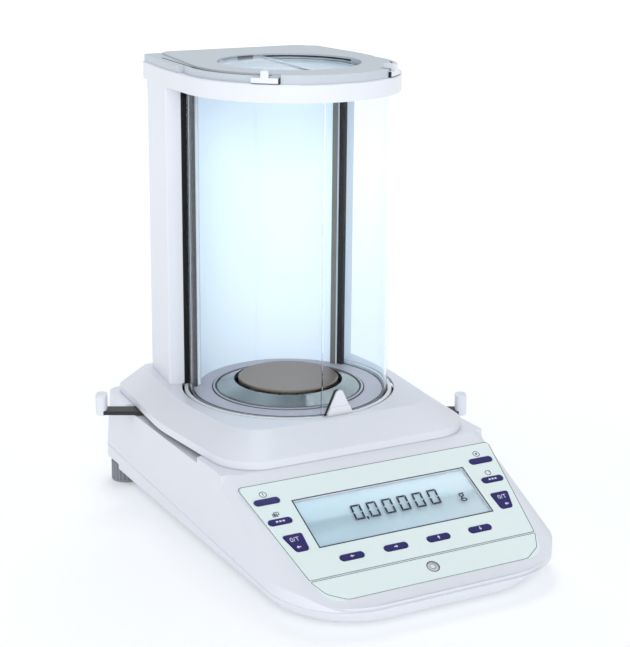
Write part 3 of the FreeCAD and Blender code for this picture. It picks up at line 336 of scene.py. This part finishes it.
def surface(name, colour, roughness, mottle=0.04, mottle_scale=18.0, grain=0.08, grain_scale=900.0,
            metallic=0.0, coat=0.0, paint=None):
    """Opaque material with mottled colour and fine grain.

    paint(tree, colour socket) may change the colour.
    """
    material = bpy.data.materials.new(name)
    material.use_nodes = True
    tree = material.node_tree
    shader = tree.nodes["Principled BSDF"]
    shader.inputs["Roughness"].default_value = roughness
    shader.inputs["Metallic"].default_value = metallic
    shader.inputs["Coat Weight"].default_value = coat
    coords = tree.nodes.new("ShaderNodeTexCoord")
    tint = tree.nodes.new("ShaderNodeGroup")
    tint.node_tree = MOTTLE
    tint.inputs["Colour"].default_value = (*colour, 1)
    tint.inputs["Amount"].default_value = mottle
    tint.inputs["Scale"].default_value = mottle_scale
    tree.links.new(coords.outputs["Object"], tint.inputs["Vector"])
    result = tint.outputs["Colour"]
    if paint:
        result = paint(tree, result)
    tree.links.new(result, shader.inputs["Base Color"])
    bumps = tree.nodes.new("ShaderNodeGroup")
    bumps.node_tree = GRAIN
    bumps.inputs["Scale"].default_value = grain_scale
    bumps.inputs["Depth"].default_value = grain
    tree.links.new(coords.outputs["Object"], bumps.inputs["Vector"])
    tree.links.new(bumps.outputs["Normal"], shader.inputs["Normal"])
    return material


def clear(name, colour, roughness=0.0, ior=1.06, body=1.0):
    """Clear glass that lets the studio's light through to what is behind it. body is how solid it looks."""
    material = surface(name, colour, roughness, mottle=0.01, grain=0.0)
    tree = material.node_tree
    shader = tree.nodes["Principled BSDF"]
    shader.inputs["Transmission Weight"].default_value = 1.0
    shader.inputs["IOR"].default_value = ior
    path = tree.nodes.new("ShaderNodeLightPath")
    solid = calc(tree, "MULTIPLY_ADD", path.outputs["Is Shadow Ray"], -SHADOW_CLEARNESS * body, body)
    tree.links.new(solid, shader.inputs["Alpha"])
    return material


def painted_slot_shade(tree, colour):
    """Painted shade: black inside the handle slots, the straight grooves behind them and the ledge's ends."""
    x, y, z, radius = place_of(tree)
    below = calc(tree, "LESS_THAN", z, (LEDGE_Z - 0.15) * MM)
    slot = calc(tree, "MULTIPLY", between(tree, radius, SLOT_IN_R - 0.05, SLOT_OUT_R + 0.05), below)
    slope = calc(tree, "MULTIPLY_ADD", y, GROOVE_LEAN, calc(tree, "ABSOLUTE", x))
    groove = calc(tree, "MULTIPLY", between(tree, slope, GROOVE_IN, GROOVE_OUT),
                  between(tree, y, GROOVE_START_Y, GROOVE_END_Y))
    groove = calc(tree, "MULTIPLY", groove, below)
    bearing = calc(tree, "ARCTAN2", calc(tree, "ABSOLUTE", x), calc(tree, "MULTIPLY", y, -1.0))
    end = calc(tree, "COMPARE", bearing, math.radians(LEDGE_END_AZ), 0.0012)
    end = calc(tree, "MULTIPLY", end, calc(tree, "GREATER_THAN", radius, (TRACK_R + 0.1) * MM))
    # The black in slots, grooves and at the ledge's ends is painted shade.
    mask = calc(tree, "MAXIMUM", calc(tree, "MAXIMUM", slot, groove), end)
    return blended(tree, mask, colour, BLACK)


def painted_channel_shade(tree, colour):
    """Painted shade: black inside the lower cap's channel."""
    x, y, z, radius = place_of(tree)
    below = calc(tree, "LESS_THAN", z, (CAP_SEAM_Z - 0.1) * MM)
    inside = calc(tree, "MULTIPLY", between(tree, radius, CHANNEL_IN_R, CHANNEL_OUT_R), below)
    above = calc(tree, "GREATER_THAN", z, CHANNEL_FLOOR_Z * MM)
    return blended(tree, calc(tree, "MULTIPLY", inside, above), colour, BLACK)


def painted_foot_shade(tree, colour):
    """White ring with its foot under the glass painted black, as painted shade in the gap beside the glass.
    """
    x, y, z, radius = place_of(tree)
    return blended(tree, calc(tree, "LESS_THAN", z, RAIL_FOOT_Z * MM), colour, BLACK)


def lip_trim_lit_left_shaded_right(tree, colour):
    """Metal trim on the inner faces of the rear wall's front edges, painted light on the left as painted
    highlight and dark on the right as painted shade.
    """
    x, y, z, radius = place_of(tree)
    trim = between(tree, radius, WALL_LIP_R - 1, WALL_LIP_R + 0.2)
    right = calc(tree, "GREATER_THAN", x, 0.0)
    # Painted highlight on the left trim, painted shade on the right trim.
    metal = blended(tree, right, (0.60, 0.61, 0.63), (0.17, 0.155, 0.135))
    return blended(tree, trim, colour, metal)


def display_tint(tree, colour):
    """Display that grows lighter towards its upper right."""
    x, y, z, radius = place_of(tree)
    across = calc(tree, "MULTIPLY_ADD", x, 3.2, 0.42)
    rise = calc(tree, "MULTIPLY_ADD", z, 9.0, across)
    ramp = calc(tree, "MINIMUM", calc(tree, "MAXIMUM", calc(tree, "ADD", rise, 0.55), 0.0), 1.0)
    return blended(tree, ramp, (0.47, 0.66, 0.78), (0.72, 0.86, 0.90))


def pan_shade(tree, colour):
    """Warm steel with fine turned rings."""
    coords = tree.nodes.new("ShaderNodeTexCoord")
    rings = tree.nodes.new("ShaderNodeGroup")
    rings.node_tree = TURNING
    rings.inputs["Scale"].default_value = 1500.0
    tree.links.new(coords.outputs["Object"], rings.inputs["Vector"])
    return blended(tree, rings.outputs["Shade"], (0.155, 0.112, 0.088), (0.34, 0.26, 0.21))


def painted_ring_reflection(tree, colour):
    """Polished steel cone with painted reflections, darker and lighter round its turn."""
    x, y, z, radius = place_of(tree)
    # Painted reflection: dark and light bands by bearing round the axis.
    bearing = calc(tree, "ARCTAN2", x, calc(tree, "MULTIPLY", y, -1.0))
    wave = calc(tree, "SINE", calc(tree, "MULTIPLY_ADD", bearing, 3.0, 0.4))
    finer = calc(tree, "SINE", calc(tree, "MULTIPLY_ADD", bearing, 7.0, 1.1))
    mix = calc(tree, "MULTIPLY_ADD", finer, 0.16, calc(tree, "MULTIPLY_ADD", wave, 0.26, 0.5))
    return blended(tree, mix, (0.16, 0.17, 0.165), (0.42, 0.44, 0.44))


def make_materials():
    """Every material by its slot's name."""
    return {
        "housing": surface("white_housing", WHITE, 0.34, coat=0.08),
        "cap_grey": surface("grey_cap", GREY_CAP, 0.38, paint=painted_slot_shade),
        "cap_lower": surface("white_cap_ring", WHITE, 0.34, coat=0.08, paint=painted_channel_shade),
        "rail": surface("white_rail", (0.86, 0.87, 0.89), 0.3, paint=painted_foot_shade),
        "wall": surface("white_wall", (0.84, 0.90, 0.96), 0.45, paint=lip_trim_lit_left_shaded_right),
        "floor_grey": surface("grey_floor_disc", (0.42, 0.39, 0.44), 0.36),
        "overlay": surface("printed_film", (0.82, 0.925, 0.915), 0.42, grain=0.04),
        "clear_window": clear("window", (0.99, 1.0, 1.0), roughness=0.02, body=0.25),
        "display": surface("liquid_crystal", (0.5, 0.66, 0.72), 0.5, paint=display_tint),
        "vial_glass": surface("vial", (0.72, 0.76, 0.78), 0.12),
        "key_violet": surface("indigo_key", (0.012, 0.006, 0.135), 0.30, mottle=0.15, mottle_scale=60.0),
        "door_glass": clear("door_glass", (0.895, 0.958, 0.99)),
        "pan_steel": surface("brushed_pan", (0.4, 0.36, 0.34), 0.36, metallic=0.85, paint=pan_shade),
        "ring_steel": surface("polished_ring", (0.3, 0.31, 0.31), 0.17, metallic=0.9, paint=painted_ring_reflection),
        "bright_steel": surface("bright_steel", (0.55, 0.56, 0.58), 0.25, metallic=1.0),
        "aluminium_plate": surface("milled_aluminium", (0.62, 0.63, 0.65), 0.4, metallic=1.0),
        "black_casting": surface("black_casting", (0.012, 0.012, 0.014), 0.5, grain=0.3),
        "black_plastic": surface("black_plastic", (0.012, 0.012, 0.014), 0.4),
        # seal_rubber also colours the black sheets and strips that stand for painted shade and shadow in
        # gaps.
        "seal_rubber": surface("seal_rubber", BLACK, 0.5),
        "foot_grey": surface("ribbed_foot", (0.26, 0.28, 0.31), 0.5),
        "foot_rubber": surface("foot_rubber", (0.03, 0.03, 0.032), 0.8),
        "circuit_board": surface("green_board", (0.02, 0.15, 0.06), 0.45, mottle=0.4, mottle_scale=300.0),
        "ink": surface("dark_ink", INK, 0.5),
        "line": surface("outline_ink", (0.12, 0.13, 0.15), 0.5),
        "mark": surface("white_print", (0.75, 0.76, 0.85), 0.5),
        "icon": surface("icon_ink", (0.07, 0.07, 0.12), 0.5),
        "bubble": surface("level_bubble", (0.85, 0.88, 0.88), 0.1),
    }


MATERIALS = make_materials()
OWN_MATERIAL = {"cap_lower": "cap_lower", "door_rail_left": "rail", "door_rail_right": "rail",
                "chamber_wall": "wall"}


def dress_frame():
    """Gives each CAD node the material of its slot, or its own."""
    for part in frame["record"]["subparts"]:
        name = part["node"]
        material = MATERIALS[OWN_MATERIAL.get(name, part["material_slot"])]
        mesh = frame["nodes"][name].data
        mesh.materials.clear()
        mesh.materials.append(material)


# ---- pieces ----

def on_panel(x, t, h):
    """Frame point in metres for a place on the console, given in millimetres."""
    y = t * math.cos(PANEL_TILT) - h * math.sin(PANEL_TILT)
    z = t * math.sin(PANEL_TILT) + h * math.cos(PANEL_TILT)
    return (PANEL_PLACE + Vector((x, y, z))) * MM


def piece(name, work, material, body):
    """Object from a finished bmesh, riding on a body."""
    bmesh.ops.recalc_face_normals(work, faces=work.faces)
    mesh = bpy.data.meshes.new(name)
    work.to_mesh(mesh)
    work.free()
    mesh.materials.append(MATERIALS[material])
    thing = bpy.data.objects.new(name, mesh)
    bpy.context.collection.objects.link(thing)
    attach(thing, body)
    return thing


def raised_outline(work, points, height):
    """Flat plate with a polygon's outline, on the console; points are (x, t) and height is (low, high)."""
    low = [work.verts.new(on_panel(x, t, height[0])) for x, t in points]
    face = work.faces.new(low)
    grown = bmesh.ops.extrude_face_region(work, geom=[face])
    lift = on_panel(0, 0, height[1]) - on_panel(0, 0, height[0])
    verts = [item for item in grown["geom"] if isinstance(item, bmesh.types.BMVert)]
    bmesh.ops.translate(work, verts=verts, vec=lift)


def line_loop(work, points, width, height):
    """Closed thin line that follows a polygon on the console."""
    count = len(points)
    inner, outer = [], []
    for i in range(count):
        before, here, after = Vector(points[i - 1]), Vector(points[i]), Vector(points[(i + 1) % count])
        first = (here - before).normalized()
        second = (after - here).normalized()
        across = Vector((-first.y - second.y, first.x + second.x))
        across = across / max(across.length_squared / 2, 0.5)
        inner.append(here + across * width / 2)
        outer.append(here - across * width / 2)
    ring_in = [work.verts.new(on_panel(point.x, point.y, height)) for point in inner]
    ring_out = [work.verts.new(on_panel(point.x, point.y, height)) for point in outer]
    for i in range(count):
        j = (i + 1) % count
        work.faces.new([ring_in[i], ring_in[j], ring_out[j], ring_out[i]])


def rounded(corners, steps=6):
    """Polygon points through (x, t, radius) corners with round corners."""
    points = []
    count = len(corners)
    for i in range(count):
        here = Vector(corners[i][:2])
        before = (Vector(corners[i - 1][:2]) - here).normalized()
        after = (Vector(corners[(i + 1) % count][:2]) - here).normalized()
        radius = corners[i][2]
        if radius <= 0:
            points.append(tuple(here))
            continue
        half = before.angle(after) / 2
        reach = radius / math.tan(half)
        centre = here + (before + after).normalized() * radius / math.sin(half)
        start = here + before * reach - centre
        end = here + after * reach - centre
        turn = start.angle_signed(end)
        for step in range(steps + 1):
            angle = -turn * step / steps
            points.append(tuple(centre + Matrix.Rotation(angle, 2) @ start))
    return points


def annulus(name, inner, outer, z, material, body, az_range=(0, 360), thick=0.1):
    """Flat ring or arc about the pan's axis, in millimetres."""
    work = bmesh.new()
    steps = max(8, int((az_range[1] - az_range[0]) / 2.5))
    whole = az_range[1] - az_range[0] >= 360
    corners = [(inner, z - thick), (outer, z - thick), (outer, z), (inner, z)]
    loops = []
    for step in range(steps if whole else steps + 1):
        turn = math.radians(az_range[0] + (az_range[1] - az_range[0]) * step / steps)
        loops.append([work.verts.new((r * math.sin(turn) * MM, -r * math.cos(turn) * MM, height * MM))
                      for r, height in corners])
    count = len(loops)
    for i in range(count if whole else count - 1):
        here, after = loops[i], loops[(i + 1) % count]
        for k in range(4):
            work.faces.new([here[k], here[(k + 1) % 4], after[(k + 1) % 4], after[k]])
    if not whole:
        work.faces.new(loops[0])
        work.faces.new(loops[-1][::-1])
    return piece(name, work, material, body)


# ---- housing seam ----

FRONT_CORNER_R = 60.0
FRONT_CORNER_X = 54.0
FRONT_CORNER_Y = -186.0
LIP_INSET = 1.7
LIP_HALF = 2.2
LIP_THICK = 0.4
SEAM_FRONT_Z = -88.0
SEAM_RISE = 15.0 / 362.0


def make_tray_lip():
    """Strip that hides an opening, about 4 mm high, which the CAD leaves between tray and cover at the front.

    It stands for no real part and has no CAD node.
    """
    work = bmesh.new()
    sections = []
    bearings = [math.radians(step * 5 - 75) for step in range(31)]
    middle = len(bearings) // 2
    for side, turn in ((-1, bearings[:middle + 1]), (1, bearings[middle:])):
        for bearing in turn:
            ring = []
            for inset, rise in ((0, -1), (0, 1), (LIP_THICK, 1), (LIP_THICK, -1)):
                radius = FRONT_CORNER_R - LIP_INSET - inset
                x = side * FRONT_CORNER_X + radius * math.sin(bearing)
                y = FRONT_CORNER_Y - radius * math.cos(bearing)
                seam_z = SEAM_FRONT_Z + (y - FRONT_CORNER_Y + FRONT_CORNER_R) * SEAM_RISE
                ring.append(work.verts.new((x * MM, y * MM, (seam_z + rise * LIP_HALF) * MM)))
            sections.append(ring)
    for first, second in zip(sections, sections[1:]):
        for corner in range(4):
            following = (corner + 1) % 4
            work.faces.new((first[corner], first[following], second[following], second[corner]))
    work.faces.new(sections[0][::-1])
    work.faces.new(sections[-1])
    piece("tray_lip", work, "housing", "base")


# ---- display ----

DIGIT_WIDTH = 8.2
DIGIT_HEIGHT = 14.2
DIGIT_PITCH = 12.9
DIGIT_LEAN = 0.11
STROKE = 1.5
FIRST_DIGIT_X = -34.5
DIGIT_BASE_T = -29.0
ZERO_BARS = "abcdef"


def leaned(x, t):
    """Display point with the digits' lean."""
    return (x + (t - DIGIT_BASE_T) * DIGIT_LEAN, t)


def segment_shapes(x, t):
    """Outlines of the six outer bars of one digit whose lower left corner is at x, t."""
    half = DIGIT_HEIGHT / 2
    gap = 0.22
    bars = {}
    for label, base in (("a", t + DIGIT_HEIGHT - STROKE), ("d", t)):
        slope = STROKE if label == "a" else 0
        other = 0 if label == "a" else STROKE
        bars[label] = [(x + gap + slope, base), (x + DIGIT_WIDTH - gap - slope, base),
                       (x + DIGIT_WIDTH - gap - other, base + STROKE), (x + gap + other, base + STROKE)]
    for label, left, low in (("f", True, t + half), ("e", True, t), ("b", False, t + half), ("c", False, t)):
        top_notch = STROKE if low > t else STROKE / 2
        low_notch = STROKE / 2 if low > t else STROKE
        outer = x if left else x + DIGIT_WIDTH
        inner = x + STROKE if left else x + DIGIT_WIDTH - STROKE
        points = [(outer, low + gap), (inner, low + gap + low_notch), (inner, low + half - gap - top_notch),
                  (outer, low + half - gap)]
        bars[label] = points if left else points[::-1]
    return bars


def make_digits():
    """The reading 0.00000 and its unit."""
    work = bmesh.new()
    height = (WINDOW_H, WINDOW_H + 0.14)
    for place in range(6):
        x = FIRST_DIGIT_X + place * DIGIT_PITCH
        bars = segment_shapes(x, DIGIT_BASE_T)
        for label in ZERO_BARS:
            raised_outline(work, [leaned(px, pt) for px, pt in bars[label]], height)
    dot_x = FIRST_DIGIT_X + DIGIT_WIDTH + 1.0
    comma = [(dot_x, -29.2), (dot_x + 1.7, -29.2), (dot_x + 1.7, -27.4), (dot_x, -27.4)]
    tail = [(dot_x + 0.4, -31.2), (dot_x + 1.7, -29.1), (dot_x + 0.5, -29.1)]
    raised_outline(work, comma, height)
    raised_outline(work, tail, height)
    piece("reading", work, "ink", "base")
    letters("unit", "g", 57.0, -25.2, 12.5, WINDOW_H + 0.1, "ink", "base")


def letters(name, text, x, t, size, h, material, body, thick=0.04):
    """Upright generic lettering centred on a console point."""
    curve = bpy.data.curves.new(name, "FONT")
    curve.body = text
    curve.size = size
    curve.align_x = "CENTER"
    curve.align_y = "CENTER"
    holder = bpy.data.objects.new(name + "_curve", curve)
    bpy.context.collection.objects.link(holder)
    bpy.context.view_layer.update()
    mesh = bpy.data.meshes.new_from_object(holder.evaluated_get(bpy.context.evaluated_depsgraph_get()))
    work = bmesh.new()
    work.from_mesh(mesh)
    bpy.data.objects.remove(holder)
    bpy.data.meshes.remove(mesh)
    faces = list(work.faces)
    grown = bmesh.ops.extrude_face_region(work, geom=faces)
    for item in grown["geom"]:
        if isinstance(item, bmesh.types.BMVert):
            item.co.z += thick
    for vert in work.verts:
        vert.co = on_panel(x + vert.co.x, t + vert.co.y, h + vert.co.z)
    return piece(name, work, material, body)


# ---- printed lines and signs on the console ----

OVERLAY_CORNERS = [(-107.4, 20.6, 3.0), (-93.2, -72.6, 1.5), (93.2, -72.6, 1.5), (107.4, 20.6, 3.0)]
STRIP_CORNERS = [(-93.0, -74.0, 0.6), (-87.0, -86.5, 9.0), (-74.0, -94.6, 10.0), (74.0, -94.6, 10.0),
                 (87.0, -86.5, 9.0), (93.0, -74.0, 0.6)]
WINDOW_CORNERS = [(-72.6, 0.0, 0.0), (-72.6, -46.3, 0.0), (72.6, -46.3, 0.0), (72.6, 0.0, 0.0)]


def make_outlines():
    """Thin dark lines round the film, the strip below it and the window."""
    work = bmesh.new()
    line_loop(work, rounded(OVERLAY_CORNERS), 0.55, OVERLAY_H)
    line_loop(work, rounded(STRIP_CORNERS), 0.50, OVERLAY_H)
    piece("film_outlines", work, "line", "base")
    frame_line = bmesh.new()
    line_loop(frame_line, rounded(WINDOW_CORNERS), 1.0, OVERLAY_H + 0.01)
    piece("window_outline", frame_line, "ink", "base")


KEY_PLACES = {"power": (91.1, 3.5), "menu": (89.8, -16.7), "tare": (87.2, -38.2)}
ARROW_X = (-53.4, -17.8, 17.8, 53.4)
ARROW_T = -59.6


def arrow_shape(x, t, size, heading):
    """Solid triangle with a short tail, pointing along a heading in degrees."""
    shape = [(0.9, 0), (0.1, 0.75), (0.1, 0.25), (-0.9, 0.25), (-0.9, -0.25), (0.1, -0.25), (0.1, -0.75)]
    turn = Matrix.Rotation(math.radians(heading), 2)
    points = [turn @ (Vector(point) * size) for point in shape]
    return [(x + point.x, t + point.y) for point in points]


def make_key_marks():
    """White arrows on the lower keys and the zero and tare sign on the two large ones."""
    for number, (x, heading) in enumerate(zip(ARROW_X, (180, 0, 90, 270))):
        work = bmesh.new()
        raised_outline(work, arrow_shape(x, ARROW_T, 1.7, heading), (KEY_H, KEY_H + 0.04))
        name = "key_arrow_%d" % (number + 1)
        piece("mark_" + name, work, "mark", name)
    for side, sign in (("left", -1), ("right", 1)):
        x, t = KEY_PLACES["tare"]
        body = "key_tare_" + side
        letters("mark_" + body, "0/T", sign * x, t + 2.9, 5.4, KEY_H, "mark", body)
        work = bmesh.new()
        raised_outline(work, arrow_shape(sign * x, t - 4.2, 1.9, 180), (KEY_H, KEY_H + 0.04))
        piece("enter_" + body, work, "mark", body)
        x, t = KEY_PLACES["menu"]
        work = bmesh.new()
        for step in (-2.6, 0, 2.6):
            box = [(sign * x + step - 0.9, t - 0.7), (sign * x + step + 0.9, t - 0.7),
                   (sign * x + step + 0.9, t + 0.7), (sign * x + step - 0.9, t + 0.7)]
            raised_outline(work, box, (KEY_H, KEY_H + 0.04))
        piece("mark_key_menu_" + side, work, "mark", "key_menu_" + side)


def circle(x, t, radius, steps=20):
    """Points of a circle on the console."""
    return [(x + radius * math.cos(2 * math.pi * i / steps), t + radius * math.sin(2 * math.pi * i / steps))
            for i in range(steps)]


def make_icons():
    """Small dark signs printed above the upper keys."""
    work = bmesh.new()
    height = (OVERLAY_H, OVERLAY_H + 0.03)
    line_loop(work, circle(-91.1, 10.6, 2.6), 0.6, OVERLAY_H + 0.02)
    raised_outline(work, [(-91.4, 9.6), (-90.8, 9.6), (-90.8, 12.2), (-91.4, 12.2)], height)
    line_loop(work, circle(91.1, 10.6, 2.6), 0.6, OVERLAY_H + 0.02)
    raised_outline(work, circle(91.1, 10.6, 1.0, 12), height)
    for dx, dt in ((0, 0), (1.5, 1.3)):
        box = [(-92.6 + dx, -11.6 + dt), (-89.2 + dx, -11.6 + dt),
               (-89.2 + dx, -9.0 + dt), (-92.6 + dx, -9.0 + dt)]
        line_loop(work, box, 0.6, OVERLAY_H + 0.02)
    raised_outline(work, [(-92.0, -11.0), (-89.8, -11.0), (-89.8, -9.6), (-92.0, -9.6)], height)
    line_loop(work, circle(89.8, -9.8, 2.2), 0.6, OVERLAY_H + 0.02)
    raised_outline(work, arrow_shape(91.8, -8.4, 1.2, 300), height)
    piece("key_signs", work, "icon", "base")


def make_level_bubble():
    """Dark rim, marked circle and bubble of the spirit level."""
    rim = bmesh.new()
    line_loop(rim, circle(0, LEVEL_T, 4.7, 32), 0.55, OVERLAY_H + 0.02)
    line_loop(rim, circle(0, LEVEL_T, 2.2, 24), 0.25, OVERLAY_H + 0.02)
    piece("level_rim", rim, "ink", "base")
    work = bmesh.new()
    bmesh.ops.create_uvsphere(work, u_segments=20, v_segments=10, radius=1.9)
    for vert in work.verts:
        vert.co = on_panel(vert.co.x - 0.6, LEVEL_T + vert.co.y + 0.5, 0.1 + vert.co.z * 0.22)
    for face in work.faces:
        face.smooth = True
    piece("level_bubble", work, "bubble", "base")


# ---- painted shade lines of chamber and cap ----

def make_painted_shade_rings():
    """Black sheets as painted shade lines round the draught ring, under the pan and behind the lid."""
    annulus("pan_gap_shade", PAN_R - 8.0, DRAFT_IN_R + 3.0, FLOOR_TOP_Z + 0.15, "seal_rubber", "base")
    annulus("ring_edge_shade", DRAFT_OUT_R + 0.1, DRAFT_OUT_R + 1.4, FLOOR_TOP_Z + 0.98, "seal_rubber", "base",
            thick=0.06)
    annulus("seat_edge_shade", SEAT_SHADE_IN_R, SEAT_SHADE_OUT_R, FLOOR_TOP_Z + 0.25, "seal_rubber", "base",
            thick=0.2)
    annulus("floor_edge_shade", FLOOR_SHADE_IN_R, FLOOR_SHADE_OUT_R, FLOOR_TOP_Z + 0.12, "seal_rubber", "base",
            thick=0.1)
    annulus("lid_rear_shade", LID_R - 0.45, LID_R - 0.05, CAP_SEAM_Z + 5.0, "seal_rubber", "base",
            az_range=(92, 262), thick=1.2)


def make_handle_shadow_strips():
    """Black strips as painted shadow in the gaps under and at the front end of each handle's bar."""
    for side, sign in (("left", -1), ("right", 1)):
        body = "door_" + side
        low = sign * HANDLE_AZ - HANDLE_SPAN / 2
        high = sign * HANDLE_AZ + HANDLE_SPAN / 2
        annulus("shadow_under_" + side, TRACK_R + 0.7, RIM_R + 0.1, CAP_SEAM_Z + 0.48, "seal_rubber", body,
                az_range=(low + 0.3, high), thick=0.4)
        front = high if side == "left" else low
        az_range = (front - 0.05, front + 0.6) if side == "left" else (front - 0.6, front + 0.05)
        annulus("shadow_end_" + side, TRACK_R + 0.7, RIM_R + 0.1, LEDGE_Z - 1.0, "seal_rubber", body,
                az_range=az_range, thick=LEDGE_Z - 1.0 - CAP_SEAM_Z - 0.1)


def make_grip_shadow_edge():
    """Black strip as painted shadow along the left side of the front grip."""
    work = bmesh.new()
    turn = Matrix.Rotation(math.radians(1.0), 4, "Z")
    corners = [(-12.7, 0.2), (-11.4, 0.2), (-2.9, 18.6), (-0.5, 19.3), (-1.5, 19.9), (-3.9, 19.3)]
    points = [turn @ Vector((x * MM, -80.0 * MM, (z - 8.2) * MM)) for x, z in corners]
    face = work.faces.new([work.verts.new(point) for point in points])
    grown = bmesh.ops.extrude_face_region(work, geom=[face])
    verts = [item for item in grown["geom"] if isinstance(item, bmesh.types.BMVert)]
    bmesh.ops.translate(work, verts=verts, vec=turn @ Vector((0, -1.2 * MM, 0)))
    piece("grip_shadow_edge", work, "seal_rubber", "door_right")


make_world()
make_floor()
aim_camera()
area_light("front_light", (-0.85, -1.7, 0.75), (0, -0.05, 0.05), (1.3, 0.9), 12)
area_light("rear_light", (0.35, 0.9, 1.6), (0, -0.05, 0), (0.9, 0.9), 9)
dress_frame()
make_digits()
make_tray_lip()
make_outlines()
make_key_marks()
make_icons()
make_level_bubble()
make_painted_shade_rings()
make_handle_shadow_strips()
make_grip_shadow_edge()
